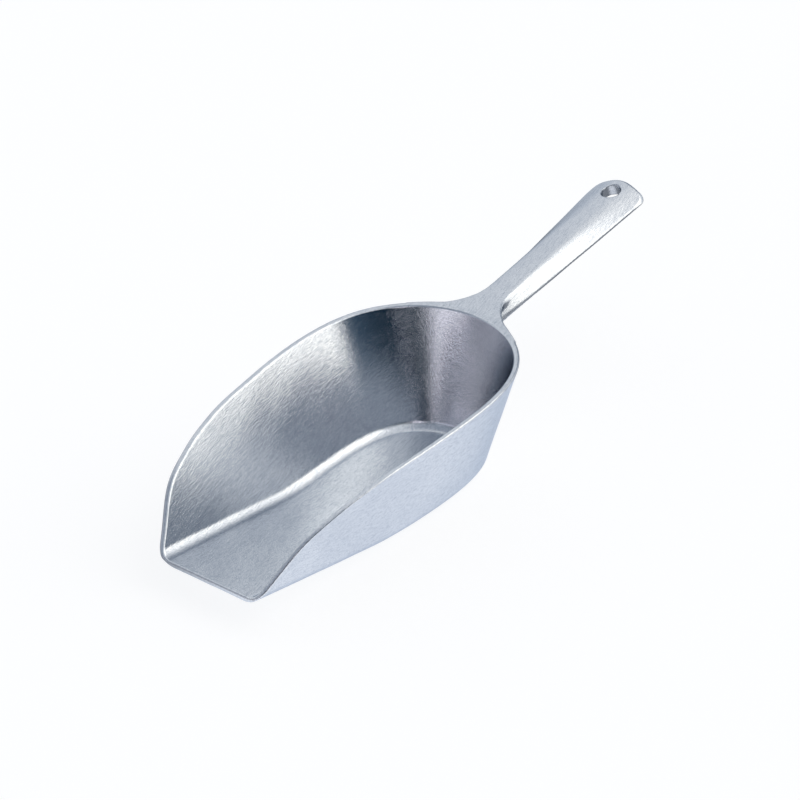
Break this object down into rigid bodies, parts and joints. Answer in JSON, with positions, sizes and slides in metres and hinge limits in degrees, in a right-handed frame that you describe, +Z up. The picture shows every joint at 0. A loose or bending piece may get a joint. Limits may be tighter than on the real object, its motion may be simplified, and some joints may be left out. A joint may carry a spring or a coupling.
{
  "type": "feed scoop",
  "caption": "Cast aluminium feed scoop with a flat-bottomed bowl, open raised lip, flared walls, round back and a tapered handle with a hanging hole.",
  "frame": {"origin": "on the surface that the flat bottom stands on, under the middle of the overall length, on the plane of symmetry", "axes": "+X from the mouth towards the handle's tip, +Y to the right of a person holding the handle with the mouth pointing away, +Z up"},
  "size_m": [0.316, 0.1254, 0.0812],
  "materials": {
    "cast_aluminium": "tumbled satin casting"
  },
  "bodies": {
    "root": {"pouring_lip": "cast_aluminium", "bowl_floor": "cast_aluminium", "left_side_wall": "cast_aluminium", "right_side_wall": "cast_aluminium", "back_wall": "cast_aluminium", "handle_neck": "cast_aluminium", "handle_grip": "cast_aluminium", "hanging_eye": "cast_aluminium"}
  },
  "joints": []
}
